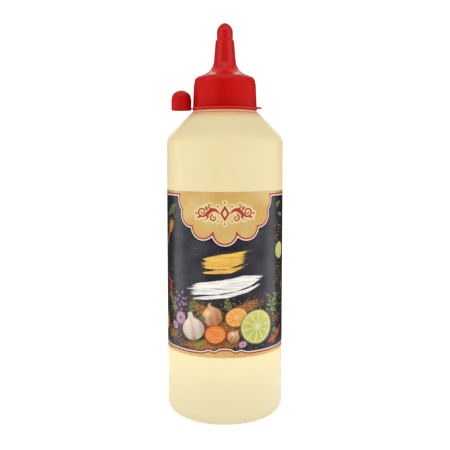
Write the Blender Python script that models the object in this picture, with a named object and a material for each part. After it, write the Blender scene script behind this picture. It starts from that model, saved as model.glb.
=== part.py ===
# A squeeze bottle of mayonnaise: a blown bottle with a wrap label, a screw cap
# with a pointed spout, and a small tip cap held to the screw cap by a tether ring.
# Metres, +Z up. The origin is on the bottle's axis, in the plane it stands on.
# The front is towards -Y, and the tip cap hangs at -X.

import math

import bmesh
import bpy
from mathutils import Vector

MM = 0.001
GAP = 0.3 * MM

# Bottle
BODY_R = 32.5 * MM
BASE_FOOT_R = 22.0 * MM
BASE_PUSH_UP = 1.6 * MM
HEEL_ROUND = 6.1 * MM
WALL = 1.2 * MM
FLOOR = 1.5 * MM
SHOULDER_Z = 154.5 * MM
SHOULDER_ROUND = 8.6 * MM
DECK_Z = 168.5 * MM
NECK_R = 15.6 * MM
NECK_BORE_R = 13.6 * MM
NECK_ROOT_WALL = 2.6 * MM
NECK_TOP_Z = 182.0 * MM
BODY_SIDES = 64

# Label, let into the wall so that its face is flush with it
LABEL_BOTTOM_Z = 38.1 * MM
LABEL_TOP_Z = 125.6 * MM
LABEL_THICK = 0.3 * MM

# Screw cap with its spout
CAP_BOTTOM_Z = DECK_Z + GAP
LIP_R = 17.95 * MM
LIP_TOP_Z = 169.45 * MM
GROOVE_R = 16.75 * MM
CAP_WALL_Z = 171.75 * MM
CAP_WALL_R = 17.7 * MM
CAP_TOP_R = 17.1 * MM
CAP_CORNER_Z = 187.5 * MM
CAP_CORNER_ROUND = 3.8 * MM
CAP_SLOPE = math.radians(20)
SPOUT_FLARE_R = 6.45 * MM
SPOUT_FLARE_ROUND = 8.4 * MM
SPOUT_TOP_R = 5.05 * MM
SPOUT_TOP_Z = 207.4 * MM
NIB_R = 4.32 * MM
NIB_Z = 208.6 * MM
NIB_DOME_Z = 212.8 * MM
NIB_TOP_Z = 218.1 * MM
CAP_SIDES = 56

# Grip ribs, in groups round the screw cap
RIB_GROUPS = 4
RIBS_IN_GROUP = 5
RIB_PITCH = 1.1 * MM
RIB_R = 0.38 * MM
RIB_BOTTOM_Z = 172.1 * MM
RIB_TOP_Z = 184.2 * MM
RIB_OFFSET = math.radians(-3.3)

# Tether ring with its pull tab, and the tip cap
RING_INNER_R = GROOVE_R + GAP
RING_OUTER_R = 18.05 * MM
RING_BOTTOM_Z = LIP_TOP_Z + GAP
RING_TOP_Z = CAP_WALL_Z - GAP
TAB_END_X = 20.6 * MM
TAB_WIDTH = 5.0 * MM
STRAP_WIDTH = 3.6 * MM
STRAP_THICK = 0.65 * MM
TIP_X = -24.3 * MM
TIP_R = 5.6 * MM
TIP_BOTTOM_Z = 169.4 * MM
TIP_STEP_Z = 176.0 * MM
TIP_TOP_Z = 181.2 * MM
TIP_EDGE_ROUND = 0.5 * MM
TIP_STEP = 0.15 * MM
TIP_BORE_R = 4.45 * MM
TIP_BORE_Z = 178.6 * MM
TIP_SIDES = 28

# Colours
CREAM_PLASTIC = (0.86, 0.80, 0.58)
MAYONNAISE = (0.83, 0.71, 0.38)
LABEL_SLATE = (0.055, 0.052, 0.062)
CAP_RED = (0.55, 0.016, 0.012)


def clear_scene():
    for item in list(bpy.data.objects):
        bpy.data.objects.remove(item, do_unlink=True)


def plastic(name, colour, roughness):
    material = bpy.data.materials.new(name)
    material.use_nodes = True
    shader = material.node_tree.nodes["Principled BSDF"]
    shader.inputs["Base Color"].default_value = (*colour, 1.0)
    shader.inputs["Roughness"].default_value = roughness
    shader.inputs["Metallic"].default_value = 0.0
    return material


def rounded_corner(before, corner, after, radius, steps):
    """Points of the arc that rounds a corner of an outline."""
    towards_before = (before - corner).normalized()
    towards_after = (after - corner).normalized()
    half_angle = towards_before.angle(towards_after) / 2
    reach = radius / math.tan(half_angle)
    start = corner + towards_before * reach
    end = corner + towards_after * reach
    middle = (towards_before + towards_after).normalized()
    centre = corner + middle * (radius / math.sin(half_angle))
    sweep = (start - centre).angle(end - centre)
    points = []
    for step in range(steps + 1):
        share = step / steps
        weight_a = math.sin((1 - share) * sweep) / math.sin(sweep)
        weight_b = math.sin(share * sweep) / math.sin(sweep)
        points.append(centre + (start - centre) * weight_a + (end - centre) * weight_b)
    return points


def outline(corners):
    """An outline from (radius, height, rounding, steps) corners, or plain (radius, height)."""
    places = [Vector(corner[:2]) for corner in corners]
    points = []
    for index, corner in enumerate(corners):
        if len(corner) == 2:
            points.append(places[index])
            continue
        before = places[index - 1]
        after = places[(index + 1) % len(places)]
        points.extend(rounded_corner(before, places[index], after, corner[2], corner[3]))
    return points


def finish(name, mesh, material):
    """Make the object of a finished mesh, smooth but for its real edges."""
    mesh.materials.append(material)
    mesh.shade_smooth()
    mesh.set_sharp_from_angle(angle=math.radians(34))
    made = bpy.data.objects.new(name, mesh)
    bpy.context.collection.objects.link(made)
    return made


def turned(name, points, sides, material, axis_x=0.0):
    """Turn an outline round a vertical axis. It closes on the axis or on itself."""
    shape = bmesh.new()
    rim = [shape.verts.new((point[0], 0.0, point[1])) for point in points]
    edges = [shape.edges.new(pair) for pair in zip(rim, rim[1:])]
    if points[0][0] > 0.0:
        edges.append(shape.edges.new((rim[-1], rim[0])))
    bmesh.ops.spin(shape, geom=rim + edges, cent=(0, 0, 0), axis=(0, 0, 1),
                   angle=math.tau, steps=sides)
    bmesh.ops.remove_doubles(shape, verts=shape.verts, dist=0.002 * MM)
    bmesh.ops.translate(shape, verts=shape.verts, vec=(axis_x, 0.0, 0.0))
    bmesh.ops.recalc_face_normals(shape, faces=shape.faces)
    mesh = bpy.data.meshes.new(name)
    shape.to_mesh(mesh)
    shape.free()
    return finish(name, mesh, material)


def extruded(name, points, width, material):
    """A bar along Y, from an outline of (x, z) points."""
    shape = bmesh.new()
    face = shape.faces.new([shape.verts.new((x, -width / 2, z)) for x, z in points])
    pushed = bmesh.ops.extrude_face_region(shape, geom=[face])
    moved = [item for item in pushed["geom"] if isinstance(item, bmesh.types.BMVert)]
    bmesh.ops.translate(shape, verts=moved, vec=(0.0, width, 0.0))
    bmesh.ops.recalc_face_normals(shape, faces=shape.faces)
    mesh = bpy.data.meshes.new(name)
    shape.to_mesh(mesh)
    shape.free()
    return finish(name, mesh, material)


def fuse(main, pieces):
    """Join pieces to the main one by one union, and remove them."""
    group = bpy.data.collections.new("joined_to_" + main.name)
    bpy.context.scene.collection.children.link(group)
    for piece in pieces:
        bpy.context.collection.objects.unlink(piece)
        group.objects.link(piece)
    union = main.modifiers.new("union", "BOOLEAN")
    union.operation = "UNION"
    union.operand_type = "COLLECTION"
    union.collection = group
    union.solver = "EXACT"
    evaluated = main.evaluated_get(bpy.context.evaluated_depsgraph_get())
    mesh = bpy.data.meshes.new_from_object(evaluated)
    main.modifiers.clear()
    main.data = mesh
    for piece in pieces:
        bpy.data.objects.remove(piece, do_unlink=True)
    bpy.data.collections.remove(group)
    mesh.shade_smooth()
    mesh.set_sharp_from_angle(angle=math.radians(34))


def inner_outline(inset):
    """The bottle's inside, or a surface that far within it, from the floor's middle to the neck."""
    side_r = BODY_R - WALL - inset
    floor_z = FLOOR + inset
    neck_r = NECK_BORE_R - inset
    root_z = SHOULDER_Z + BODY_R - NECK_BORE_R - NECK_ROOT_WALL - inset / 2
    side_top_z = SHOULDER_Z - WALL - inset / 2
    return [
        (0.0, floor_z + BASE_PUSH_UP),
        (BASE_FOOT_R - 3 * MM, floor_z + BASE_PUSH_UP),
        (BASE_FOOT_R, floor_z),
        (side_r, floor_z, HEEL_ROUND - WALL, 3),
        (side_r, side_top_z, SHOULDER_ROUND - WALL, 3),
        (neck_r, root_z),
    ]


def make_bottle(material):
    recess_r = BODY_R - LABEL_THICK - GAP
    shoulder_end_r = BODY_R + SHOULDER_Z - DECK_Z
    outside = [
        (0.0, BASE_PUSH_UP),
        (BASE_FOOT_R - 3 * MM, BASE_PUSH_UP),
        (BASE_FOOT_R, 0.0),
        (BODY_R, 0.0, HEEL_ROUND, 5),
        (BODY_R, LABEL_BOTTOM_Z - GAP),
        (recess_r, LABEL_BOTTOM_Z - GAP),
        (recess_r, LABEL_TOP_Z + GAP),
        (BODY_R, LABEL_TOP_Z + GAP),
        (BODY_R, SHOULDER_Z, SHOULDER_ROUND, 5),
        (shoulder_end_r, DECK_Z),
        (NECK_R, DECK_Z),
        (NECK_R, NECK_TOP_Z),
        (NECK_BORE_R, NECK_TOP_Z),
    ]
    inside = list(reversed(inner_outline(0.0)))
    return turned("bottle", outline(outside + inside), BODY_SIDES, material)


def make_mayonnaise(material):
    corners = inner_outline(GAP)
    corners.append((NECK_BORE_R - GAP, NECK_TOP_Z))
    corners.append((0.0, NECK_TOP_Z))
    return turned("mayonnaise", outline(corners), BODY_SIDES, material)


def make_label(material):
    corners = [
        (BODY_R, LABEL_TOP_Z),
        (BODY_R, LABEL_BOTTOM_Z),
        (BODY_R - LABEL_THICK, LABEL_BOTTOM_Z),
        (BODY_R - LABEL_THICK, LABEL_TOP_Z),
    ]
    return turned("label", outline(corners), BODY_SIDES, material)


def spout_outline():
    """The outside of the screw cap, from the rim of its corner up to the nib's point."""
    corner_reach = CAP_TOP_R - SPOUT_FLARE_R
    flare_z = CAP_CORNER_Z + corner_reach * math.tan(CAP_SLOPE)
    nib_height = NIB_TOP_Z - NIB_DOME_Z
    corners = [
        (CAP_TOP_R, CAP_CORNER_Z, CAP_CORNER_ROUND, 5),
        (SPOUT_FLARE_R, flare_z, SPOUT_FLARE_ROUND, 6),
        (SPOUT_TOP_R, SPOUT_TOP_Z),
        (NIB_R, NIB_Z),
        (NIB_R, NIB_DOME_Z),
    ]
    for share in (0.25, 0.5, 0.72, 0.9):
        dome_r = NIB_R * (1 - share ** 1.3) ** 0.526
        corners.append((dome_r, NIB_DOME_Z + nib_height * share))
    corners.append((0.0, NIB_TOP_Z))
    return corners


def make_screw_cap(material):
    bore_r = NECK_R + GAP
    corners = [
        (0.0, NECK_TOP_Z + GAP),
        (bore_r, NECK_TOP_Z + GAP),
        (bore_r, CAP_BOTTOM_Z),
        (LIP_R, CAP_BOTTOM_Z, 0.2 * MM, 1),
        (LIP_R, LIP_TOP_Z, 0.2 * MM, 1),
        (GROOVE_R, LIP_TOP_Z),
        (GROOVE_R, CAP_WALL_Z),
        (CAP_WALL_R, CAP_WALL_Z, 0.2 * MM, 1),
    ]
    cap = turned("screw_cap", outline(corners + spout_outline()), CAP_SIDES, material)
    fuse(cap, [make_rib(angle, material) for angle in rib_angles()])
    return cap


def rib_angles():
    """Angles of the ribs, counted from the front, group by group."""
    step = RIB_PITCH / CAP_WALL_R
    angles = []
    for group in range(RIB_GROUPS):
        middle = RIB_OFFSET + math.tau * group / RIB_GROUPS
        for rib in range(RIBS_IN_GROUP):
            angles.append(middle + (rib - (RIBS_IN_GROUP - 1) / 2) * step)
    return angles


def wall_r_at(height):
    """The screw cap's outer radius at a height of its tapered wall."""
    share = (height - CAP_WALL_Z) / (CAP_CORNER_Z - CAP_WALL_Z)
    return CAP_WALL_R + (CAP_TOP_R - CAP_WALL_R) * share


def make_rib(angle, material):
    """A small upright bar, half sunk in the screw cap's wall."""
    shape = bmesh.new()
    made = bmesh.ops.create_cone(shape, cap_ends=True, segments=6, radius1=RIB_R,
                                 radius2=RIB_R * 0.8, depth=RIB_TOP_Z - RIB_BOTTOM_Z)
    outward = Vector((math.sin(angle), -math.cos(angle), 0.0))
    middle_z = (RIB_TOP_Z + RIB_BOTTOM_Z) / 2
    for vertex in made["verts"]:
        height = middle_z + vertex.co.z
        turned_x = vertex.co.x * math.cos(angle) - vertex.co.y * math.sin(angle)
        turned_y = vertex.co.x * math.sin(angle) + vertex.co.y * math.cos(angle)
        centre = outward * (wall_r_at(height) - 0.08 * MM)
        vertex.co = Vector((centre.x + turned_x, centre.y + turned_y, height))
    bmesh.ops.recalc_face_normals(shape, faces=shape.faces)
    mesh = bpy.data.meshes.new("rib")
    shape.to_mesh(mesh)
    shape.free()
    return finish("rib", mesh, material)


def make_ring(material):
    corners = [
        (RING_INNER_R, RING_BOTTOM_Z),
        (RING_OUTER_R, RING_BOTTOM_Z, 0.6 * MM, 2),
        (RING_OUTER_R, RING_TOP_Z, 0.4 * MM, 2),
        (RING_INNER_R, RING_TOP_Z),
    ]
    return turned("tip_cap_tether", outline(corners), CAP_SIDES, material)


def make_tab(material):
    root_x = (RING_INNER_R + RING_OUTER_R) / 2
    points = [
        (root_x, RING_BOTTOM_Z + 0.45 * MM),
        (TAB_END_X, RING_BOTTOM_Z + 0.4 * MM),
        (TAB_END_X, RING_BOTTOM_Z + 1.1 * MM),
        (root_x, RING_BOTTOM_Z + 1.55 * MM),
    ]
    return extruded("tab", points, TAB_WIDTH, material)


def make_strap(material):
    """The thin strap from the ring to the tip cap's side wall."""
    start_x = -(RING_INNER_R + RING_OUTER_R) / 2
    end_x = TIP_X + (TIP_R + TIP_BORE_R) / 2
    bottom_z = RING_BOTTOM_Z + 0.85 * MM
    points = [
        (start_x, bottom_z),
        (end_x, bottom_z),
        (end_x, bottom_z + STRAP_THICK),
        (start_x, bottom_z + STRAP_THICK),
    ]
    return extruded("strap", points, STRAP_WIDTH, material)


def make_tip_cap(material):
    """The tip cap: round-topped, open below, with a bore that fits over the nib."""
    corners = [
        (0.0, TIP_BORE_Z),
        (TIP_BORE_R * 0.6, TIP_BORE_Z - 0.5 * MM),
        (TIP_BORE_R, TIP_BORE_Z - 2.6 * MM),
        (TIP_BORE_R, TIP_BOTTOM_Z),
        (TIP_R, TIP_BOTTOM_Z, TIP_EDGE_ROUND, 2),
        (TIP_R, TIP_STEP_Z),
    ]
    dome_height = TIP_TOP_Z - TIP_STEP_Z
    for turn in (0, 18, 36, 52, 66, 79):
        angle = math.radians(turn)
        dome_r = (TIP_R - TIP_STEP) * math.cos(angle)
        corners.append((dome_r, TIP_STEP_Z + dome_height * math.sin(angle)))
    corners.append((0.0, TIP_TOP_Z))
    return turned("tip_cap", outline(corners), TIP_SIDES, material, axis_x=TIP_X)


def make_tether(material):
    tether = make_ring(material)
    fuse(tether, [make_tab(material), make_strap(material), make_tip_cap(material)])
    return tether


def build():
    clear_scene()
    red = plastic("cap_red", CAP_RED, 0.32)
    make_bottle(plastic("bottle_plastic", CREAM_PLASTIC, 0.38))
    make_mayonnaise(plastic("mayonnaise", MAYONNAISE, 0.45))
    make_label(plastic("label_print", LABEL_SLATE, 0.4))
    make_screw_cap(red)
    make_tether(red)


build()
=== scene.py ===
import math

import bmesh
import bpy
import numpy as np
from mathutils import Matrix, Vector


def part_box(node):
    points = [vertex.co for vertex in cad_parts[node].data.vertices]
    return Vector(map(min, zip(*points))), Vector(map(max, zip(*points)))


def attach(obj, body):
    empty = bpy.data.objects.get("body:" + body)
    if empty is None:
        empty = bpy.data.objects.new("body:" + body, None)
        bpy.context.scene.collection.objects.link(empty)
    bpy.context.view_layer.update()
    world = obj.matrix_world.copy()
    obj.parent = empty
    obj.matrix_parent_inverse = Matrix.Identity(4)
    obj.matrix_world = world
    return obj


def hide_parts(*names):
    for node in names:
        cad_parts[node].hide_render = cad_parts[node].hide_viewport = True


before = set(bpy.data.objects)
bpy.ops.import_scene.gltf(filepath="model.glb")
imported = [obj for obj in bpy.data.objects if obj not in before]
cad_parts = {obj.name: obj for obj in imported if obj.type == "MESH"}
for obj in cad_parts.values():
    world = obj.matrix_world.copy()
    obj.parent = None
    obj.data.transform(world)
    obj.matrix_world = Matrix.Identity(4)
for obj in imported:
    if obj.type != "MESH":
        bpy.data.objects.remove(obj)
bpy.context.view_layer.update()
mm = 0.001
print("frame loaded:", sorted(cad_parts))

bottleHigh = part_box("bottle")[1]
labelLow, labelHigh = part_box("label")
capLow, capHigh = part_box("screw_cap")
tetherLow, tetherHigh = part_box("tip_cap_tether")


# Colours and nodes

def tone(code):
    parts = [int(code[i:i + 2], 16) / 255 for i in (0, 2, 4)]
    return (*[p / 12.92 if p <= 0.04045 else ((p + 0.055) / 1.055) ** 2.4 for p in parts], 1.0)


class Amount:
    # a number that varies; sums and products of amounts add Math nodes
    def __init__(self, maker, socket):
        self.maker = maker
        self.socket = socket

    def math(self, operation, *others):
        return self.maker.math(operation, self, *others)

    def __add__(self, other):
        return self.math("ADD", other)

    def __sub__(self, other):
        return self.math("SUBTRACT", other)

    def __rsub__(self, other):
        return self.maker.math("SUBTRACT", other, self)

    def __mul__(self, other):
        return self.math("MULTIPLY", other)

    def __truediv__(self, other):
        return self.math("DIVIDE", other)

    def __rtruediv__(self, other):
        return self.maker.math("DIVIDE", other, self)

    def __abs__(self):
        return self.math("ABSOLUTE")

    __radd__ = __add__
    __rmul__ = __mul__

    def between(self, low, high):
        # 0 at low, 1 at high, eased; low may be the larger one
        inputs = {"Value": self, "From Min": low, "From Max": high}
        return self.maker.amount("ShaderNodeMapRange", inputs, interpolation_type="SMOOTHSTEP")


class Nodes:
    # the nodes of one tree
    def __init__(self, tree):
        self.tree = tree

    def plug(self, value, socket):
        value = getattr(value, "socket", value)
        if isinstance(value, bpy.types.NodeSocket):
            self.tree.links.new(value, socket)
        else:
            socket.default_value = value

    def node(self, kind, inputs=None, **settings):
        # the settings are set first, then the values or links of the sockets
        made = self.tree.nodes.new(kind)
        for key, value in settings.items():
            setattr(made, key, value)
        for key, value in (inputs or {}).items():
            self.plug(value, made.inputs[key])
        return made

    def first(self, kind, inputs=None, **settings):
        return self.node(kind, inputs, **settings).outputs[0]

    def amount(self, kind, inputs=None, **settings):
        return Amount(self, self.first(kind, inputs, **settings))

    def math(self, operation, *values):
        return self.amount("ShaderNodeMath", dict(enumerate(values)), operation=operation)


class Finish(Nodes):
    # one material and the nodes that feed its Principled shader
    def __init__(self, name):
        self.material = bpy.data.materials.new(name)
        self.material.use_nodes = True
        super().__init__(self.material.node_tree)
        self.shader = self.tree.nodes["Principled BSDF"]

    def mix(self, under, over, share, blend="MIX"):
        # a colour is a code or a socket
        under, over = [tone(part) if isinstance(part, str) else part for part in (under, over)]
        inputs = {0: share, 6: under, 7: over}
        return self.node("ShaderNodeMix", inputs, data_type="RGBA", blend_type=blend).outputs[2]

    def coats(self, colour, *layers):
        # lays each (colour, share) over what is there
        for over, share in layers:
            colour = self.mix(colour, over, share)
        return colour

    def bands(self, colour, height, rows):
        # each row is (colour, height where it starts, height where it is full, strength)
        for over, start, full, strength in rows:
            colour = self.mix(colour, over, height.between(start, full) * strength)
        return colour

    def place(self, stretch=(1, 1, 1)):
        # object coordinates in millimetres
        spot = self.node("ShaderNodeTexCoord").outputs["Object"]
        return self.first("ShaderNodeMapping", {0: spot, "Scale": tuple(part / mm for part in stretch)})

    def split(self, vector):
        made = self.node("ShaderNodeSeparateXYZ", {0: vector})
        return [Amount(self, made.outputs[i]) for i in range(3)]

    def noise(self, vector, scale, detail=2.0, roughness=0.5, distortion=0.0):
        inputs = {"Vector": vector, "Scale": scale, "Detail": detail, "Roughness": roughness,
                  "Distortion": distortion}
        return self.amount("ShaderNodeTexNoise", inputs)

    def bump(self, height, depth, strength):
        return self.first("ShaderNodeBump", {"Strength": strength, "Distance": depth, "Height": height})

    def set(self, **values):
        for key, value in values.items():
            self.plug(value, self.shader.inputs[key.replace("_", " ")])
        return self.material


# Outlines and turned pieces

def roundCorner(before, corner, after, radius, steps):
    back = (before - corner).normalized()
    ahead = (after - corner).normalized()
    half = back.angle(ahead) / 2
    reach = radius / math.tan(half)
    centre = corner + (back + ahead).normalized() * (radius / math.sin(half))
    start, end = corner + back * reach - centre, corner + ahead * reach - centre
    return [centre + start.slerp(end, step / steps).normalized() * radius for step in range(steps + 1)]


def drawOutline(corners, longest=4.0):
    # corners are (radius, height) or (radius, height, rounding, steps), in millimetres
    places = [Vector(corner[:2]) for corner in corners]
    points = []
    for index, corner in enumerate(corners):
        if len(corner) == 2:
            points.append(places[index])
            continue
        after = places[(index + 1) % len(places)]
        points.extend(roundCorner(places[index - 1], places[index], after, corner[2], corner[3]))
    filled = [points[0]]
    for point in points[1:]:
        steps = max(1, round((point - filled[-1]).length / longest))
        start = filled[-1]
        filled.extend(start.lerp(point, (step + 1) / steps) for step in range(steps))
    return filled


def addPiece(name, vertices, faces, material, sharp=32):
    mesh = bpy.data.meshes.new(name)
    mesh.from_pydata([tuple(v) for v in vertices], [], [tuple(f) for f in faces])
    mesh.materials.append(material)
    shape = bmesh.new()
    shape.from_mesh(mesh)
    bmesh.ops.remove_doubles(shape, verts=shape.verts, dist=0.0005 * mm)
    bmesh.ops.recalc_face_normals(shape, faces=shape.faces)
    shape.to_mesh(mesh)
    shape.free()
    mesh.shade_smooth()
    mesh.set_sharp_from_angle(angle=math.radians(sharp))
    piece = bpy.data.objects.new(name, mesh)
    bpy.context.scene.collection.objects.link(piece)
    return piece


def turn(name, points, angles, material, axisX=0.0, sharp=32, press=None):
    # points are (radius, height) in millimetres; an outline closes on itself or on the axis, where
    # addPiece merges the corners that meet
    radius, height = np.array([tuple(point) for point in points]).T
    count, columns = len(points), len(angles)
    x = np.outer(np.sin(angles), radius)
    y = -np.outer(np.cos(angles), radius)
    vertices = np.stack([x, y, np.tile(height, (columns, 1))], axis=-1)
    if press is not None:
        vertices = press(vertices)
    vertices = vertices.reshape(-1, 3) * mm + np.array([axisX, 0.0, 0.0])
    rows = count if radius[0] > 0 else count - 1
    faces = []
    for column in range(columns):
        here = column * count
        there = (column + 1) % columns * count
        for row in range(rows):
            above = (row + 1) % count
            faces.append((here + row, there + row, there + above, here + above))
    return addPiece(name, vertices, faces, material, sharp)


def evenAngles(count):
    return [math.tau * step / count for step in range(count)]


def settle(piece, node):
    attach(piece, "root")
    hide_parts(node)


# Bottle: a blown shell with a thin parting line at each side

bottle = {
    "radius": bottleHigh.x / mm,
    "columns": 180,
    "seamColumns": (0.12, 0.25, 0.4, 0.6, 0.9),
    "footRadius": 22.0,
    "pushUp": 1.6,
    "pushSlope": 3.0,
    "heelRound": 6.1,
    "wall": 1.2,
    "shoulderWall": 3.3,
    "floor": 1.5,
    "shoulderHeight": 154.62,
    "shoulderRound": 8.6,
    "deck": capLow.z / mm - 0.3,
    "neckRadius": 15.6,
    "neckBore": 13.6,
    "neckRootWall": 2.6,
    "neckTop": bottleHigh.z / mm,
    "flangeRadius": 17.75,
    "flangeHeight": 0.75,
    "labelRecess": 0.12,
    "partingHeight": 0.09,
    "partingWidth": 0.28,
    "pinchHeight": 0.27,
    "clear": 0.42,
}


def baseCorners(floor, pushRound, footRound):
    # the pushed-up middle of the base and the foot round it; a rounding is (radius, steps)
    middle, foot = floor + bottle["pushUp"], bottle["footRadius"]
    return [(0.0, middle), (foot - bottle["pushSlope"], middle, *pushRound), (foot, floor, *footRound)]


def insideCorners():
    side = bottle["radius"] - bottle["wall"]
    shoulder = bottle["shoulderHeight"] - bottle["shoulderWall"]
    root = bottle["shoulderHeight"] + bottle["radius"] - bottle["neckBore"] - bottle["neckRootWall"]
    return baseCorners(bottle["floor"], (2.0, 5), (2.0, 5)) + [
        (side, bottle["floor"], bottle["heelRound"] - bottle["wall"], 12),
        (side, shoulder, bottle["shoulderRound"] - bottle["wall"], 10),
        (bottle["neckBore"], root),
    ]


def outsideCorners():
    radius, shoulder, deck = bottle["radius"], bottle["shoulderHeight"], bottle["deck"]
    neck, flange, flangeTop = bottle["neckRadius"], bottle["flangeRadius"], deck + bottle["flangeHeight"]
    recess = bottle["labelRecess"]
    bottom, top = labelLow.z / mm, labelHigh.z / mm
    return baseCorners(0.0, (2.5, 6), (1.6, 5)) + [
        (radius, 0.0, bottle["heelRound"], 16),
        (radius, bottom - recess),
        (radius - recess, bottom),
        (radius - recess, top),
        (radius, top + recess),
        (radius, shoulder, bottle["shoulderRound"], 14),
        (radius + shoulder - deck, deck, 0.3, 4),
        (flange, deck),
        (flange, flangeTop, 0.25, 3),
        (neck, flangeTop),
        (neck, bottle["neckTop"], 0.3, 4),
        (bottle["neckBore"], bottle["neckTop"], 0.3, 4),
    ]


def seamAngles():
    # even columns, with closer ones at the parting line on each side
    angles = evenAngles(bottle["columns"])
    for middle in (math.pi / 2, 3 * math.pi / 2):
        for gap in bottle["seamColumns"]:
            angles += [middle + gap / bottle["radius"], middle - gap / bottle["radius"]]
    return sorted(angles)


def pressSeam(vertices):
    # lift the parting line off the outer wall, and the pinch line off the base
    outer = np.linalg.norm(vertices[..., :2], axis=-1)
    line = np.exp(-(vertices[..., 1] / bottle["partingWidth"]) ** 2)
    height = vertices[..., 2]
    side = (outer > bottle["radius"] - 0.03) & (height > bottle["heelRound"])
    cone = outer + height > bottle["radius"] + bottle["shoulderHeight"] - 0.05
    lift = line * bottle["partingHeight"] * (side | (cone & (height > bottle["shoulderHeight"])))
    lift = lift * (height < bottle["deck"] - 1.5)
    vertices[..., 0] *= 1 + lift / np.maximum(outer, 1.0)
    middle = outer < bottle["footRadius"] - bottle["pushSlope"] - 1
    vertices[..., 2] -= line * bottle["pinchHeight"] * (middle & (height < bottle["pushUp"] + 0.01))
    return vertices


def bottleFinish():
    finish = Finish("shellPlastic")
    place = finish.place()
    height = finish.split(place)[2]
    cloud = finish.noise(place, 0.05)
    peel = finish.noise(place, 0.75, 2.0, 0.45)
    wave = finish.noise(finish.place((1, 1, 0.25)), 0.09, 1.0)
    # painted light: the flange just under the cap is painted pinker and brighter, and made less clear, as the
    # red cap's glow where the cap's shadow falls
    flange = height.between(168.35, 168.6)
    colour = finish.coats(
        finish.mix("f0e6c9", "f4ebd4", cloud),
        # painted light: the red cap's glow painted onto the shell's neck
        ("e4b36a", height.between(164.0, 169.0) * 0.8),  # the red cap's light
        ("f6bd92", flange),
    )
    return finish.set(
        Base_Color=colour,
        Roughness=0.30 + 0.08 * cloud,
        Alpha=bottle["clear"] + 0.55 * flange,
        Normal=finish.bump(peel * 0.25 + wave, 0.05 * mm, 0.5),
    )


def makeBottle():
    corners = outsideCorners() + insideCorners()[::-1]
    shell = turn("bottleShell", drawOutline(corners), seamAngles(), bottleFinish(), press=pressSeam)
    shell.visible_shadow = False  # the sauce behind it is lit as if the wall let all light in
    settle(shell, "bottle")
    print("bottle made")


# Mayonnaise: fills the bottle and reaches just into its wall

sauce = {
    "intoWall": 1.0,
    "intoFloor": 0.8,
    "shoulderLift": 1.2,
    "lowRadius": 24.0,
    "lowInset": 1.5,
    "highRadius": 18.7,
    "highInset": 0.6,
    "columns": 160,
    # painted shade and light by height: darker over the upper body and towards the base, paler low down, and
    # the red cap's glow in the neck
    "paintedShadeAndLight": (
        ("d8c578", 60.0, 135.0, 0.78),
        ("ded49a", 44.0, 26.0, 0.3),
        ("c3b680", 37.0, 9.0, 0.71),
        ("dc8a3c", 164.0, 169.0, 0.8),  # the red cap's light in the neck
    ),
}


def sauceFinish():
    finish = Finish("sauce")
    place = finish.place()
    cloud = finish.noise(place, 0.045, 3.0, 0.55)
    streak = finish.noise(finish.place((1, 1, 0.12)), 0.12)
    body = finish.mix("eadb93", "f1e5a4", cloud * 0.6 + streak * 0.4)
    colour = finish.bands(body, finish.split(place)[2], sauce["paintedShadeAndLight"])
    return finish.set(Base_Color=colour, Roughness=0.5)


def makeSauce():
    side = bottle["radius"] - bottle["wall"] + sauce["intoWall"]
    floor = bottle["floor"] - sauce["intoFloor"]
    shoulder = bottle["shoulderHeight"] - bottle["shoulderWall"] + sauce["shoulderLift"]
    cone = bottle["radius"] + bottle["shoulderHeight"]
    low, high = sauce["lowRadius"], sauce["highRadius"]
    neck, top = bottle["neckBore"] + 0.3, bottle["neckTop"] - 0.5
    outline = baseCorners(floor, (2.0, 5), (2.0, 5)) + [
        (side, floor, bottle["heelRound"], 12),
        (side, shoulder, bottle["shoulderRound"] - 1.0, 10),
        (low, cone - low - sauce["lowInset"], 8.0, 4),
        (high, cone - high - sauce["highInset"], 0.4, 3),
        (neck, bottle["deck"] - 0.2, 0.3, 3),
        (neck, top, 0.4, 3),
        (0.0, top),
    ]
    piece = turn("mayonnaiseFill", drawOutline(outline), evenAngles(sauce["columns"]), sauceFinish())
    settle(piece, "mayonnaise")
    print("mayonnaise made")


# Label: a thin sleeve, flush with the wall. Its print is worked out on the unrolled sleeve,
# in millimetres across from the middle of the front and up from the lower edge.

label = {
    "radius": labelHigh.x / mm,
    "thick": 0.10,
    "bottom": labelLow.z / mm,
    "top": labelHigh.z / mm,
    "fineReach": 55.0,
    "fineStep": 0.38,
    "coarseStep": 0.75,
    "rowStep": 0.4,
    "rowPitch": 1.9,
    "goldTop": 86.4,
    "goldBottom": 1.5,
    "redLine": 0.85,
    "whiteLine": 0.55,
    "plaqueMiddle": 83.0,
    "plaqueReach": (21.0, 16.6),
    "lobeAngles": (-90, -56, -26, 1, -124, -154, -181),
    "lobeRadius": 5.8,
    "ornamentMiddle": 76.4,
    "panelMiddle": (-71.0, 52.0),
    "panelHalf": (15.0, 23.0),
    "panelRound": 2.0,
}


def plainInk(code):
    return np.array(tone(code)[:3])


def blendInk(first, second, share):
    share = np.clip(share, 0, 1)[:, None]
    return plainInk(first) * (1 - share) + plainInk(second) * share


def ease(value, low, high):
    share = np.clip((value - low) / (high - low), 0, 1)
    return share * share * (3 - 2 * share)


def softUnion(first, second, blend):
    share = np.clip(0.5 + 0.5 * (second - first) / blend, 0, 1)
    return second * (1 - share) + first * share - blend * share * (1 - share)


def overlap(*shapes):
    return np.maximum.reduce(shapes)


def offset(point, degrees, wide, tall):
    # a point on an oval round another point
    angle = math.radians(degrees)
    return point[0] + wide * math.cos(angle), point[1] + tall * math.sin(angle)


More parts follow.
